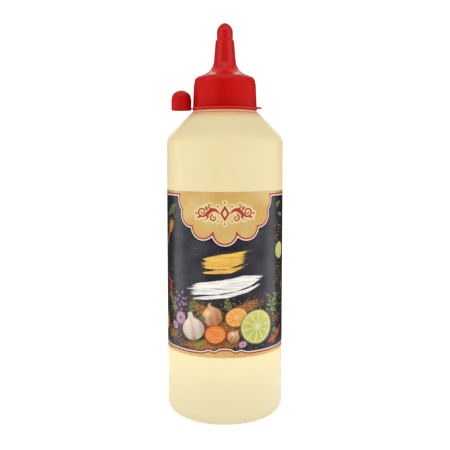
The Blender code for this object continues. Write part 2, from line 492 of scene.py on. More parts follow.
class Sheet:
    # distances are signed, in millimetres, and negative inside a shape
    def __init__(self, across, up):
        self.across = across
        self.up = up
        self.ink = np.zeros((len(across), 3))
        self.cover = np.zeros(len(across))

    def local(self, centre, turned=0.0):
        x = self.across - centre[0]
        y = self.up - centre[1]
        cosine, sine = math.cos(math.radians(turned)), math.sin(math.radians(turned))
        return x * cosine + y * sine, y * cosine - x * sine

    def paint(self, distance, ink, soft=0.2, strength=1.0):
        share = np.clip(0.5 - distance / (2 * soft), 0, 1) * strength
        if isinstance(ink, str):
            ink = plainInk(ink)
        self.ink = self.ink * (1 - share)[:, None] + ink * share[:, None]
        self.cover = self.cover * (1 - share) + share

    def stroke(self, points):
        # points are (across, up, half width)
        best = np.full(len(self.across), 1e3)
        for (x0, y0, wide0), (x1, y1, wide1) in zip(points, points[1:]):
            dx, dy = x1 - x0, y1 - y0
            along = ((self.across - x0) * dx + (self.up - y0) * dy) / (dx * dx + dy * dy)
            along = np.clip(along, 0, 1)
            gap = np.hypot(self.across - x0 - along * dx, self.up - y0 - along * dy)
            best = np.minimum(best, gap - (wide0 + (wide1 - wide0) * along))
        return best

    def oval(self, centre, wide, tall, turned=0.0):
        x, y = self.local(centre, turned)
        return (np.hypot(x / wide, y / tall) - 1) * min(wide, tall)

    def leaf(self, root, turned, length, width, blunt=1.0):
        x, y = self.local(root, turned)
        half = width / 2 * np.sin(math.pi * np.clip(x / length, 0, 1) ** 0.8) ** blunt
        return overlap(np.abs(y) - half, -x, x - length)


def printShadow(sheet, centre, wide, tall):
    sheet.paint(sheet.oval((centre[0] + 0.6, centre[1] - 0.7), wide, tall), "0c0a0b", 1.4, 0.6)


def printCitrus(sheet, centre, radius, turned, inks, segments, squash, lean):
    rind, pith, pulp, glow = inks
    printShadow(sheet, centre, radius * 1.06, radius * squash * 1.06)
    x, y = sheet.local(centre, lean)
    y = y / squash
    away = np.hypot(x, y)
    angle = np.arctan2(y, x) + math.radians(turned)
    edgeLight = 0.5 + 0.5 * np.sin(angle - math.radians(turned) + 0.6)
    sheet.paint(away - radius, blendInk(rind, glow, 0.25 * edgeLight))
    sheet.paint(away - radius * 0.93, pith)
    turnPart = angle * segments / math.tau
    within = np.abs(turnPart - np.floor(turnPart) - 0.5)
    toLine = (0.5 - within) * math.tau / segments * away
    inside = overlap(away - radius * 0.86, radius * 0.09 - away, radius * 0.035 - toLine)
    grain = np.sin(angle * segments * 6.0 + 2.1 * np.sin(away * 1.7)) * 0.5 + 0.5
    shade = 0.35 * grain + 0.5 * ease(away, radius * 0.1, radius * 0.8) + 0.25 * edgeLight - 0.1
    sheet.paint(inside, blendInk(pulp, glow, shade))
    sheet.paint(away - radius * 0.07, pith)


def printLeaf(sheet, root, turned, length, width, dark="2f4a17", light="7d9440"):
    x, y = sheet.local(root, turned)
    shade = 0.35 + 0.25 * np.sin(x * 5.0 - np.abs(y) * 5.0) + 0.7 * y / width
    sheet.paint(sheet.leaf(root, turned, length, width, 0.8), blendInk(dark, light, shade), 0.16)
    sheet.paint(overlap(np.abs(y) - 0.1, -x, x - length * 0.92), light, 0.14, 0.7)


def printSprig(sheet, root, turned, length, leaves, size, dark="35491d", light="7f9150"):
    tip = offset(root, turned, length, length)
    sheet.paint(sheet.stroke([(*root, 0.22), (*tip, 0.1)]), "5d6b35", 0.15)
    for index in range(leaves):
        share = (index + 0.7) / leaves
        place = offset(root, turned, length * share, length * share)
        swing = 42 if index % 2 else -42
        printLeaf(sheet, place, turned + swing, size * (1.15 - 0.5 * share), size * 0.42, dark, light)
    printLeaf(sheet, tip, turned, size * 0.8, size * 0.36, dark, light)


def printGarlic(sheet, centre, size, turned):
    printShadow(sheet, centre, size * 1.08, size)
    x, y = sheet.local(centre, turned)
    neck = overlap(np.abs(x) - size * (0.17 + 0.05 * np.sin(y)), size * 0.4 - y, y - size * 1.32)
    body = softUnion(np.hypot(x, y / 0.86) - size, neck, size * 0.42)
    cloves = np.abs(np.sin(3.6 * np.arcsin(np.clip(x / (size * 1.02), -1, 1)))) ** 0.6
    light = 0.4 * cloves + 0.5 * ease(y - x * 0.5, -size, size) + 0.1
    sheet.paint(body, blendInk("8f735d", "dccfbd", light))
    sheet.paint(np.abs(body + size * 0.1) - 0.14, "b89c8c", 0.3, 0.35)
    sheet.paint(np.hypot(x, (y + size * 0.76) * 1.6) - size * 0.2, "9b7a5a", 0.5, 0.8)


def printOnion(sheet, centre, size, turned):
    printShadow(sheet, centre, size * 1.1, size * 1.05)
    x, y = sheet.local(centre, turned)
    tip = overlap(np.abs(x) - size * 0.1, size * 0.6 - y, y - size * 1.3)
    body = softUnion(np.hypot(x, y / 0.94) - size, tip, size * 0.4)
    skin = 0.5 + 0.5 * np.sin(9.0 * np.arcsin(np.clip(x / (size * 1.05), -1, 1)))
    light = 0.22 * skin + 0.6 * ease(y - x * 0.7, -size, size * 1.1) + 0.12
    sheet.paint(body, blendInk("8e4f26", "e0ab7c", light))
    sheet.paint(np.hypot(x + size * 0.32, y - size * 0.38) - size * 0.16, "f3d9b8", size * 0.25, 0.8)


def printTomato(sheet, centre, size, squash, turned):
    printShadow(sheet, centre, size * 1.05, size * squash * 1.05)
    x, y = sheet.local(centre, turned)
    y = y / squash
    away = np.hypot(x, y)
    angle = np.arctan2(y, x)
    sheet.paint(away - size, blendInk("7c1d0c", "cf4a1b", ease(y, -size, size)))
    sheet.paint(away - size * 0.88, "dd7434")
    pocket = np.abs(np.sin(angle * 2.5 + 0.4)) ** 0.5
    hollow = np.maximum(np.abs(away - size * 0.55) - size * 0.23, (0.48 - pocket) * size * 0.6)
    seeds = 0.5 + 0.5 * np.sin(angle * 17) * np.sin(away * 9)
    sheet.paint(hollow, blendInk("b8380f", "efb345", seeds), 0.3)


def printChili(sheet, *points):
    sheet.paint(sheet.stroke(points), "b3261a")
    sheet.paint(sheet.stroke([(x - 0.25, y + 0.3, wide * 0.3) for x, y, wide in points]), "e2593c", 0.35, 0.7)


def printRings(sheet, centre, radii, squash, turned):
    x, y = sheet.local(centre, turned)
    away = np.hypot(x, y / squash)
    for radius in radii:
        sheet.paint(np.abs(away - radius) - 0.36, "c9a0b6", 0.16)
        sheet.paint(np.abs(away - radius - 0.22) - 0.14, "a4608a", 0.16)


def printSpoon(sheet, bowl, tip, size):
    turned = math.degrees(math.atan2(tip[1] - bowl[1], tip[0] - bowl[0]))
    handle = sheet.stroke([(*bowl, 0.9), ((bowl[0] + tip[0]) / 2, (bowl[1] + tip[1]) / 2, 0.6), (*tip, 0.95)])
    cup = sheet.oval(bowl, size, size * 0.72, turned)
    x, y = sheet.local(bowl, turned)
    grain = 0.5 + 0.5 * np.sin(y * 7 + 0.6 * np.sin(x * 0.8))
    wood = blendInk("6a4422", "b5864c", 0.35 + 0.3 * grain + 0.08 * y)
    sheet.paint(softUnion(handle, cup, 1.2), wood)
    sheet.paint(cup + size * 0.16, blendInk("3c2512", "7a5127", 0.5 - 0.12 * y), 0.3)
    fill = 0.5 + 0.5 * np.sin(x * 6.1 + 2 * np.sin(y * 3.7)) * np.sin(y * 6.9 + 2 * np.sin(x * 2.9))
    sheet.paint(sheet.oval(bowl, size * 0.7, size * 0.47, turned), blendInk("8f3a10", "e0962a", fill), 0.5)


lemonInks = ("7f8420", "cfcfa0", "a09e2e", "c9c45e")
orangeInks = ("a6470e", "dfbd80", "cf7614", "e8a73c")
paleLeaf = ("3b541c", "93a552")

# each row is a kind of food and what its function takes after the sheet: the place, then turn and sizes
sideFood = (
    (printSpoon, (-36.5, 68.5), (-44.5, 57.0), 3.9),
    (printSprig, (-30.5, 80.0), 208, 8.0, 6, 3.4),
    (printCitrus, (37.4, 55.0), 4.9, 0, lemonInks, 9, 0.94, 0),
    (printLeaf, (33.2, 79.0), 28, 6.0, 3.0),
    (printLeaf, (36.5, 75.0), -14, 5.2, 2.4, *paleLeaf),
    (printChili, (-39.0, 40.0, 0.4), (-36.8, 36.2, 0.85), (-36.6, 32.0, 0.7), (-38.6, 28.8, 0.2)),
    (printLeaf, (40.5, 33.0), 64, 5.4, 2.4),
    (printTomato, (-46.0, 14.0), 6.0, 0.9, 0),
    (printSprig, (-57.0, 12.0), 74, 13.0, 8, 4.4),
    (printGarlic, (-67.0, 13.5), 5.6, -16),
    (printCitrus, (-79.0, 14.5), 7.0, 8, orangeInks, 10, 0.92, 8),
    (printSprig, (88.0, 9.0), 82, 12.0, 7, 4.2),
    (printCitrus, (93.0, 70.0), 5.6, 30, orangeInks, 9, 0.95, 0),
    (printSprig, (-94.0, 60.0), 60, 12.0, 7, 4.2),
)
frontFood = (
    (printSprig, (-31.5, 20.5), 112, 9.5, 6, 4.2),
    (printSprig, (-20.0, 22.5), 68, 6.5, 5, 3.4),
    (printSprig, (2.2, 24.5), 100, 6.0, 5, 3.0, "3c4f22", "8d9a55"),
    (printSprig, (27.0, 22.5), 52, 9.0, 6, 4.0),
    (printLeaf, (29.5, 12.5), -28, 8.0, 3.6),
    (printLeaf, (29.0, 9.5), -62, 5.6, 2.8, "2f4a17", "8fa04a"),
    (printRings, (-26.8, 19.3), (1.4, 2.4, 3.4), 0.85, 20),
    (printRings, (-31.6, 14.6), (1.2, 2.1), 0.75, -30),
    (printCitrus, (6.2, 21.6), 6.0, 12, orangeInks, 9, 0.84, 18),
    (printOnion, (-6.8, 22.0), 5.4, 14),
    (printGarlic, (-18.0, 14.4), 6.9, 12),
    (printChili, (26.6, 6.2, 0.5), (31.0, 7.0, 1.05), (36.5, 9.3, 1.0), (40.0, 12.8, 0.3)),
    (printCitrus, (18.2, 15.6), 9.9, 20, lemonInks, 10, 0.94, -6),
    (printTomato, (-5.0, 12.2), 6.1, 0.84, 10),
    (printOnion, (4.5, 11.0), 3.3, -35),
    (printLeaf, (-11.4, 8.2), 200, 6.4, 2.7, *paleLeaf),
    (printRings, (9.6, 6.9), (0.9, 1.7), 0.8, 10),
    (printLeaf, (-10.6, 19.0), 132, 4.6, 2.2),
)


def printFood(sheet):
    for draw, *given in sideFood + frontFood:
        draw(sheet, *given)
    # petals and leaf scraps, in two spirals
    for index in range(16):
        spin = math.degrees(2.399 * index)
        reach = 1.0 + 1.05 * math.sqrt(index * 1.6)
        place = offset((-27.5, 28.0), spin, reach, 0.9 * reach)
        printLeaf(sheet, place, spin * 1.7, 1.9, 1.1, "84437c", "c58ab5")
        place = offset((29.5, 27.0), spin + math.degrees(1), 0.8 * reach, 1.1 * reach)
        printLeaf(sheet, place, spin * 1.3, 1.7, 1.0, "4f6b24", "a3b256")
    print("food printed")


# the ornament's curls are (centre, start angle, turns, size, half width), its dots (across, up, size)
# and its leaves (root, turn, length, width), all from the middle of the ornament
ornamentCurls = (
    ((12.1, 0.75), -100, 1.35, 2.5, 0.5),
    ((5.9, -2.4), 70, -1.2, 1.9, 0.42),
    ((7.8, 4.0), 250, 0.9, 1.3, 0.36),
)
ornamentDots = (
    (15.6, 0.0, 0.62), (3.7, 3.6, 0.5), (3.7, -4.1, 0.45),
    (10.4, -3.3, 0.4), (0.0, 5.6, 0.5), (0.0, -5.5, 0.5),
)
ornamentLeaves = (
    ((9.2, 1.5), 62, 2.9, 1.3),
    ((8.6, -0.9), -66, 2.6, 1.2),
    ((12.8, -1.6), -18, 2.8, 1.1),
)


def drawOrnament(sheet):
    # a scroll pattern, the same on both sides of the middle
    side = Sheet(np.abs(sheet.across), sheet.up - label["ornamentMiddle"])
    diamond = (side.across / 2.5 + np.abs(side.up) / 4.3 - 1) * 2.1
    hollow = side.across / 1.15 + np.abs(side.up) / 2.2 - 1
    arm = []
    for share in np.linspace(0, 1, 25):
        arm.append((2.9 + 9.6 * share, 2.1 * math.sin(share * math.pi * 1.55) * (1 - 0.25 * share),
                    0.28 + 0.75 * math.sin(math.pi * min(1.0, share * 1.05))))
    shapes = [np.maximum(diamond, -hollow), side.stroke(arm)]
    for centre, start, turns, size, wide in ornamentCurls:
        curl = []
        for share in np.linspace(0, 1, 31):
            reach = size * (1 - 0.82 * share)
            place = offset(centre, start + turns * 360 * share, reach, reach)
            curl.append((*place, wide * (1 - 0.45 * share)))
        shapes.append(side.stroke(curl))
    shapes += [np.hypot(side.across - x, side.up - y) - size for x, y, size in ornamentDots]
    shapes += [side.leaf(*given) for given in ornamentLeaves]
    return np.minimum.reduce(shapes)


def drawFrame(sheet):
    # gold strip and scalloped plaque at the top, border with a raised middle at the bottom
    wide, tall = label["plaqueReach"]
    plaque = sheet.oval((0.0, label["plaqueMiddle"]), wide, tall)
    for angle in label["lobeAngles"]:
        x, y = sheet.local(offset((0.0, label["plaqueMiddle"]), angle, wide, tall))
        plaque = softUnion(plaque, np.hypot(x, y) - label["lobeRadius"], 0.5)
    top = softUnion(plaque, label["goldTop"] - sheet.up, 1.2)
    middle = 2.1 * np.exp(-(sheet.across / 4.6) ** 4)
    beside = 1.2 * np.exp(-((np.abs(sheet.across) - 8.5) / 2.6) ** 2)
    return np.minimum(top, sheet.up - label["goldBottom"] - middle - beside)


goldSwash = (
    ((-15.8, 47.6, 0.8), (-12.0, 49.8, 2.5), (-6.0, 50.6, 3.5), (1.0, 51.2, 3.9), (8.0, 53.0, 3.2),
     (12.4, 54.9, 2.0), (15.4, 56.8, 0.5)),
    ((-11.5, 45.0, 0.4), (-5.0, 45.6, 0.95), (3.0, 46.2, 1.1), (9.5, 48.2, 0.6), (12.0, 49.6, 0.25)),
)
whiteSwash = (
    ((-25.6, 33.4, 0.7), (-20.5, 35.2, 2.4), (-13.0, 36.5, 3.2), (-4.0, 37.4, 3.5), (5.0, 38.9, 3.5),
     (13.0, 41.0, 3.1), (20.0, 43.6, 2.2), (26.4, 47.6, 0.5)),
    ((-19.0, 30.9, 0.35), (-10.0, 31.8, 0.85), (2.0, 33.2, 1.0), (12.0, 35.6, 0.9), (21.5, 39.0, 0.3)),
)


def drawSwash(sheet, strokes):
    return np.minimum.reduce([sheet.stroke(points) for points in strokes])


def drawPanel(sheet):
    # a pale panel with rounded corners, at the back
    rounding = label["panelRound"]
    x, y = [np.abs(part) - half + rounding
            for part, half in zip(sheet.local(label["panelMiddle"]), label["panelHalf"])]
    return np.hypot(np.maximum(x, 0), np.maximum(y, 0)) + np.minimum(np.maximum(x, y), 0) - rounding


def drawRows(sheet):
    # plain bars of uneven length, one for each row
    row = np.floor(sheet.up / label["rowPitch"])
    ragged = np.sin(row * 12.9898) * 43758.5453
    ragged = ragged - np.floor(ragged)

    def block(left, right, bottom, top):
        return overlap(left - sheet.across, sheet.across - right, bottom - sheet.up, sheet.up - top)

    blank = np.abs(sheet.up - 37.0) - 2.2
    right = np.maximum(block(48.5, 80.0 - 7.0 * ragged, 14.0, 58.0), -blank)
    return np.minimum(right, block(-83.0, -60.0 - 8.0 * ragged, 33.0, 70.0))


# patches are (across, up, half width, half height, turn, strength)
powderPatches = (
    (-8.0, 6.6, 19.0, 3.6, 4, 1.05), (11.5, 26.4, 11.0, 3.6, 18, 0.9), (-13.0, 25.5, 9.0, 4.4, -20, 0.75),
    (-1.0, 16.5, 20.0, 8.0, 0, 0.72), (33.0, 18.0, 6.0, 5.0, 0, 0.5), (-34.0, 9.5, 7.0, 4.0, 0, 0.7),
    (-78.0, 8.0, 20.0, 4.0, 0, 0.8), (84.0, 7.0, 16.0, 4.0, 0, 0.8),
)
seedPatches = (
    (0.0, 17.0, 40.0, 11.0, 6, 0.6), (36.0, 66.0, 5.0, 8.0, 20, 0.5), (-37.0, 72.0, 5.0, 6.0, -20, 0.5),
    (-38.0, 32.0, 6.0, 10.0, 0, 0.5), (38.0, 38.0, 6.0, 12.0, 0, 0.5), (92.0, 62.0, 12.0, 12.0, 0, 0.4),
    (-80.0, 16.0, 22.0, 14.0, 0, 0.6), (-94.0, 62.0, 10.0, 14.0, 0, 0.5),
)


def scatter(sheet, patches):
    field = np.zeros(len(sheet.across))
    for x, y, wide, tall, turned, strength in patches:
        localX, localY = sheet.local((x, y), turned)
        field = np.maximum(field, strength * np.exp(-(localX / wide) ** 2 - (localY / tall) ** 2))
    return field


def readOut(items, name, width, kind):
    values = np.empty(len(items) * width, dtype=kind)
    items.foreach_get(name, values)
    return values.reshape(-1, width) if width > 1 else values


def unrollFaces(mesh, points, turned, up):
    # every face is unrolled round its own middle, so none is torn where the sleeve's ends meet
    corners = readOut(mesh.loops, "vertex_index", 1, np.int32)
    starts = readOut(mesh.polygons, "loop_start", 1, np.int32)
    sizes = readOut(mesh.polygons, "loop_total", 1, np.int32)
    centres = np.add.reduceat(points[corners][:, :2], starts, axis=0)
    middle = np.repeat(np.arctan2(centres[:, 0], -centres[:, 1]), sizes)
    gap = turned[corners] - middle
    gap = gap - math.tau * np.round(gap / math.tau)
    flat = np.column_stack([(middle + gap) * label["radius"], up[corners]])
    mesh.uv_layers.new(name="unrolled").data.foreach_set("uv", flat.astype(np.float32).ravel())


def printLabel(mesh):
    points = readOut(mesh.vertices, "co", 3, float) / mm
    turned = np.arctan2(points[:, 0], -points[:, 1])
    across = turned * label["radius"]
    up = points[:, 2] - label["bottom"]
    sheet = Sheet(across, up)
    printFood(sheet)
    dryGold = ease(np.abs(across + 0.5), 6.0, 15.5)
    dryWhite = ease(np.abs(across - 0.5), 12.0, 26.0)
    fields = {
        "frameEdge": drawFrame(sheet),
        "ornament": drawOrnament(sheet),
        "goldSwash": drawSwash(sheet, goldSwash),
        "whiteSwash": drawSwash(sheet, whiteSwash),
        "dryness": np.where(up > 43.5, dryGold, dryWhite),
        "panelEdge": drawPanel(sheet),
        "rowEdge": drawRows(sheet),
        "seamGap": math.pi * label["radius"] - np.abs(across),
        "powder": scatter(sheet, powderPatches),
        "seeds": scatter(sheet, seedPatches),
        "foodCover": sheet.cover,
    }
    for name, values in fields.items():
        made = mesh.attributes.new(name, "FLOAT", "POINT")
        made.data.foreach_set("value", values.astype(np.float32))
    food = mesh.attributes.new("foodInk", "FLOAT_COLOR", "POINT")
    food.data.foreach_set("color", np.column_stack([sheet.ink, np.ones(len(up))]).astype(np.float32).ravel())
    unrollFaces(mesh, points, turned, up)


class LabelFinish(Finish):
    # the printed film, built up from the slate ground to the gold
    def __init__(self, name):
        super().__init__(name)
        self.spot = self.first("ShaderNodeUVMap", uv_map="unrolled")
        self.fromMiddle = abs(self.split(self.spot)[0])

    def field(self, name):
        return Amount(self, self.node("ShaderNodeAttribute", attribute_name=name).outputs["Fac"])

    def stretched(self, x, y, turned=0.0, shift=(0, 0, 0)):
        spin = (0, 0, math.radians(turned))
        inputs = {0: self.spot, "Location": shift, "Rotation": spin, "Scale": (x, y, 1)}
        return self.first("ShaderNodeMapping", inputs)

    def slate(self):
        # smudges, wiped streaks and fine scratches, and painted shade that darkens the slate over a band at
        # each side of the front
        smudge = self.noise(self.stretched(0.05, 0.07), 1.0, 4.0, 0.6, 0.6)
        wipe = self.noise(self.stretched(0.03, 0.30, 24), 1.0, 4.0, 0.65)
        grit = self.noise(self.spot, 1.6, 2.0, 0.6)
        # painted shade: the slate darker over a band at each side of the front
        side = self.fromMiddle.between(31.5, 36.5) * self.fromMiddle.between(64.0, 46.0)
        ground = self.coats(
            self.mix("1b1920", "34323b", smudge.between(0.28, 0.72)),
            ("454350", wipe.between(0.56, 0.78) * 0.55),
            ("121114", grit.between(0.58, 0.75) * 0.5),
        )
        for turned, shift in ((31, 3.1), (-17, 11.7)):
            scratch = self.noise(self.stretched(0.035, 1.5, turned, (shift, shift, 0)), 1.0, 1.0, 0.5)
            keep = self.noise(self.stretched(0.08, 0.2, turned, (0, shift, 0)), 1.0, 2.0)
            line = (1 - abs(scratch - 0.5).between(0.0, 0.012)) * keep.between(0.56, 0.7)
            ground = self.mix(ground, "8a8783", line * 0.45)
        return self.mix(ground, "0d0c10", side * 0.55)

    def dots(self, ground, scale, share, size, inks, shift):
        # one dot in a cell, where the cell's own number is under the local share
        cells = {"Vector": self.stretched(1, 1, 0, (shift, shift / 2, 0)), "Scale": scale, "Randomness": 0.9}
        cell = self.node("ShaderNodeTexVoronoi", cells, voronoi_dimensions="2D")
        number = self.split(cell.outputs["Color"])
        there = (share - number[0]).between(0.0, 0.05)
        size = size * (0.55 + 0.6 * number[1])
        dot = (Amount(self, cell.outputs["Distance"]) - size).between(0.07, -0.07) * there
        return self.mix(ground, self.mix(*inks, number[2]), dot)

    def spices(self, ground):
        ground = self.dots(ground, 0.62, self.field("seeds") * 0.55, 0.30, ("8d7a3a", "4d5a30"), 0.0)
        ground = self.dots(ground, 1.0, self.field("seeds") * 0.75, 0.30, ("b98f3e", "a4552c"), 17.0)
        dust = self.noise(self.spot, 0.85, 5.0, 0.75)
        cloud = (self.field("powder") * 0.62 + dust * 0.75).between(0.62, 0.86)
        ground = self.mix(ground, self.mix("7a451a", "b57a31", dust.between(0.4, 0.65)), cloud * 0.95)
        return self.dots(ground, 1.5, self.field("powder") * 0.8, 0.34, ("d39a3e", "8a3f16"), 31.0)

    def food(self, ground):
        # laid over with its own cover
        cover = self.field("foodCover")
        ink = self.node("ShaderNodeAttribute", attribute_name="foodInk").outputs["Color"]
        speckle = self.noise(self.spot, 1.1, 3.0, 0.6).between(0.55, 0.75)
        colour = self.mix(self.mix(ground, "000000", cover), ink, 1.0, "ADD")
        return self.mix(colour, "0f0d0e", speckle * cover * 0.28)

    def smallPrint(self, colour):
        # a pale panel and plain bars round the back
        panel = self.field("panelEdge").between(0.12, -0.12)
        part = self.split(self.spot)[1] / label["rowPitch"]
        part = abs(part - part.math("FLOOR") - 0.5)
        bar = part.between(0.17, 0.10) * self.field("rowEdge").between(0.12, -0.12)
        return self.coats(colour, ("ddd3b8", panel), (self.mix("bdb8ae", "3a373b", panel), bar * 0.75))

    def swashes(self, colour):
        # brush strokes, running dry towards their ends
        bristle = self.noise(self.stretched(0.07, 1.5, -8), 1.0, 3.0, 0.6, 0.3)
        ragged = (self.noise(self.stretched(0.25, 1.0, -8), 1.0, 3.0, 0.6) - 0.5) * 1.6
        dry = self.field("dryness")
        wet = (bristle - dry * 0.45).between(0.24, 0.36)
        for name, inks in (("goldSwash", ("c98f2c", "e3bb52")), ("whiteSwash", ("c4c1ba", "ece9e2"))):
            shape = (self.field(name) + ragged * (0.35 + dry)).between(0.14, -0.14)
            colour = self.mix(colour, self.mix(*inks, bristle.between(0.35, 0.6)), shape * wet)
        return colour

    def gold(self):
        ornament = self.field("ornament")
        sheen = self.noise(self.stretched(0.04, 0.05), 1.0, 2.0)
        return self.coats(
            self.mix("c3984f", "ccb270", sheen.between(0.3, 0.7)),
            # painted shade: the gold darker from the sides of the front round to the back
            ("9c6a30", self.fromMiddle.between(31.0, 42.0) * 0.75),
            ("dccb98", ornament.between(1.7, 0.2) * 0.85),
            ("a8321f", ornament.between(0.13, -0.13)),
        )


def labelFinish():
    finish = LabelFinish("labelPrint")
    colour = finish.food(finish.spices(finish.slate()))
    colour = finish.swashes(finish.smallPrint(colour))
    edge = finish.field("frameEdge")
    lap = finish.field("seamGap").between(0.5, 0.1)  # where the sleeve's ends meet
    red = label["redLine"]
    white = red + label["whiteLine"]
    soft = 0.12
    colour = finish.coats(
        colour,
        ("0c0b0d", edge.between(white + 1.6, white) * 0.55),
        ("dfd1c9", edge.between(white + soft, white - soft)),
        ("a4311d", edge.between(red + soft, red - soft)),
        (finish.gold(), edge.between(soft, -soft)),
        ("17161a", lap * 0.5),
    )
    fine = finish.noise(finish.place(), 0.5)
    height = finish.noise(finish.place((1, 1, 0.5)), 0.12) + edge.between(0.2, -0.2) * 0.15 + lap
    normal = finish.bump(height, 0.04 * mm, 0.35)
    return finish.set(Base_Color=colour, Roughness=0.24 + 0.08 * fine, Normal=normal)


def sleeveAngles():
    # finer columns over the front; the first one is at the middle of the back
    reach, radius = label["fineReach"], label["radius"]
    back = math.pi * radius
    coarse = np.linspace(-back, -reach, round((back - reach) / label["coarseStep"]) + 1)
    fine = np.linspace(-reach, reach, round(2 * reach / label["fineStep"]) + 1)
    return np.concatenate([coarse, fine[1:], -coarse[::-1][1:-1]]) / radius


def makeLabel():
    rows = round((label["top"] - label["bottom"]) / label["rowStep"])
    outline = [(label["radius"], height) for height in np.linspace(label["bottom"], label["top"], rows + 1)]
    inner = label["radius"] - label["thick"]
    outline += [(inner, label["top"]), (inner, label["bottom"])]
    piece = turn("wrapLabel", outline, sleeveAngles(), labelFinish())
    printLabel(piece.data)
    settle(piece, "label")
    print("label made")


# Screw cap with its spout

cap = {
    "bottom": capLow.z / mm + 0.5,
    "bore": bottle["neckRadius"] + 0.2,
    "boreTop": bottle["neckTop"] + 0.2,
    "lipRadius": capHigh.x / mm - 0.1,
    "lipTop": 169.62,
    "groove": 16.75,
    "wallBottom": 171.56,
    "wallRadius": 17.52,
    "topRadius": 16.85,
    "cornerHeight": 187.5,
    "cornerRound": 3.2,
    "slope": math.radians(20),
    "flareRadius": 6.6,
    "flareRound": 9.3,
    "spoutTopRadius": 5.17,
    "spoutTop": 207.9,
    "nibRadius": 4.47,
    "nibBottom": 208.9,
    "nibDome": 212.8,
    "nibTop": capHigh.z / mm - 0.3,
    "columns": 192,
    # painted shade and light by height: the lower wall darker, and a lighter band over the tether ring and
    # the lip below it
    "paintedShadeAndLight": (("a40301", 176.5, 172.8, 0.65), ("c4281e", 171.2, 170.6, 0.9)),
}


def redFinish(name, polishFrom, banded=False):
    finish = Finish(name)
    place = finish.place()
    height = finish.split(place)[2]
    cloud = finish.noise(place, 0.12, 3.0, 0.5)
    grain = finish.noise(place, 2.2)
    polish = height.between(polishFrom, polishFrom + 3.0)  # smoother from here up
    colour = finish.mix("b30502", "bb0603", cloud)
    if banded:
        # painted light: the flare's lower slope is painted a brighter red
        flare = height.between(187.6, 189.0) * height.between(195.0, 191.5)
        colour = finish.bands(finish.mix(colour, "d20a06", flare * 0.6), height, cap["paintedShadeAndLight"])
    return finish.set(
        Base_Color=colour,
        Specular_IOR_Level=0.08,
        Coat_Roughness=0.16,
        Coat_Weight=0.03 + 0.55 * polish,
        Roughness=0.34 + 0.08 * grain,
        Normal=finish.bump(grain, 0.02 * mm, 0.4),
    )


def capCorners():
    flareHeight = cap["cornerHeight"] + (cap["topRadius"] - cap["flareRadius"]) * math.tan(cap["slope"])
    corners = [
        (0.0, cap["boreTop"]),
        (cap["bore"], cap["boreTop"]),
        (cap["bore"], cap["bottom"]),
        (cap["lipRadius"], cap["bottom"], 0.12, 3),
        (cap["lipRadius"], cap["lipTop"], 0.1, 3),
        (cap["groove"], cap["lipTop"]),
        (cap["groove"], cap["wallBottom"]),
        (cap["wallRadius"], cap["wallBottom"], 0.12, 4),
        (cap["topRadius"], cap["cornerHeight"], cap["cornerRound"], 16),
        (cap["flareRadius"], flareHeight, cap["flareRound"], 20),
        (cap["spoutTopRadius"], cap["spoutTop"], 0.4, 5),
        (cap["nibRadius"], cap["nibBottom"], 0.4, 5),
        (cap["nibRadius"], cap["nibDome"]),
    ]
    rise = cap["nibTop"] - cap["nibDome"]
    for step in range(1, 20):
        share = math.sin(math.pi / 2 * step / 20)
        corners.append((cap["nibRadius"] * (1 - share ** 1.7) ** 0.5, cap["nibDome"] + rise * share))
    return corners + [(0.0, cap["nibTop"])]


def makeCap(material):
    outline = drawOutline(capCorners(), longest=1.5)
    piece = turn("screwCap", outline, evenAngles(cap["columns"]), material, sharp=40)
    settle(piece, "screw_cap")
    print("screw cap made")


# Grip ribs: groups of fine upright bars, half sunk in the cap's wall

ribs = {
    "Groups": 4,
    "Ribs": 5,
    "Pitch": 1.1 / 17.4,
    "Turn": math.radians(-3.3),
    "Rib radius": 0.39 * mm,
    "Wall bottom": (0.0, -17.43 * mm, 172.0 * mm),
    "Wall top": (0.0, -16.91 * mm, 184.3 * mm),
}


def ribTree():
    tree = bpy.data.node_groups.new("gripRibTree", "GeometryNodeTree")
    kinds = {int: "Int", float: "Float", tuple: "Vector"}
    for name, value in ribs.items():
        tree.interface.new_socket(name, in_out="INPUT", socket_type="NodeSocket" + kinds[type(value)])
    tree.interface.new_socket("Material", in_out="INPUT", socket_type="NodeSocketMaterial")
    tree.interface.new_socket("Geometry", in_out="OUTPUT", socket_type="NodeSocketGeometry")
    maker = Nodes(tree)
    given = maker.node("NodeGroupInput").outputs
    groups, count, pitch, turnBy = [Amount(maker, given[i]) for i in range(4)]
    points = maker.first("GeometryNodePoints", {"Count": groups * count})
    index = maker.amount("GeometryNodeInputIndex")
    group = ((index + 0.5) / count).math("FLOOR")
    within = (index - group * count - (count - 1) * 0.5) * pitch
    angle = group * (math.tau / groups) + within + turnBy
    euler = maker.first("ShaderNodeCombineXYZ", {"Z": angle})
    turned = maker.first("FunctionNodeEulerToRotation", {0: euler})

    # one bar, thinner towards its ends
    ends = {"Start": given["Wall bottom"], "End": given["Wall top"]}
    line = maker.first("GeometryNodeCurvePrimitiveLine", ends)
    fine = maker.first("GeometryNodeResampleCurve", {"Curve": line, "Count": 28})
    along = Amount(maker, maker.node("GeometryNodeSplineParameter").outputs["Factor"])
    fromEnd = along.math("MINIMUM", 1 - along)
    taper = (fromEnd * 14.0).math("MINIMUM", 1.0).math("MAXIMUM", 0.02).math("POWER", 0.5)
    sized = maker.first("GeometryNodeSetCurveRadius", {"Curve": fine, "Radius": taper})
    ring = maker.first("GeometryNodeCurvePrimitiveCircle", {"Resolution": 14, "Radius": given["Rib radius"]})
    shape = {"Curve": sized, "Profile Curve": ring, "Fill Caps": True}
    bar = maker.first("GeometryNodeCurveToMesh", shape)
    smooth = maker.first("GeometryNodeSetShadeSmooth", {0: bar})
    copies = {"Points": points, "Instance": smooth, "Rotation": turned}
    placed = maker.first("GeometryNodeInstanceOnPoints", copies)
    real = maker.first("GeometryNodeRealizeInstances", {0: placed})
    painted = maker.first("GeometryNodeSetMaterial", {"Geometry": real, "Material": given["Material"]})
    maker.node("NodeGroupOutput", {0: painted})
    return tree


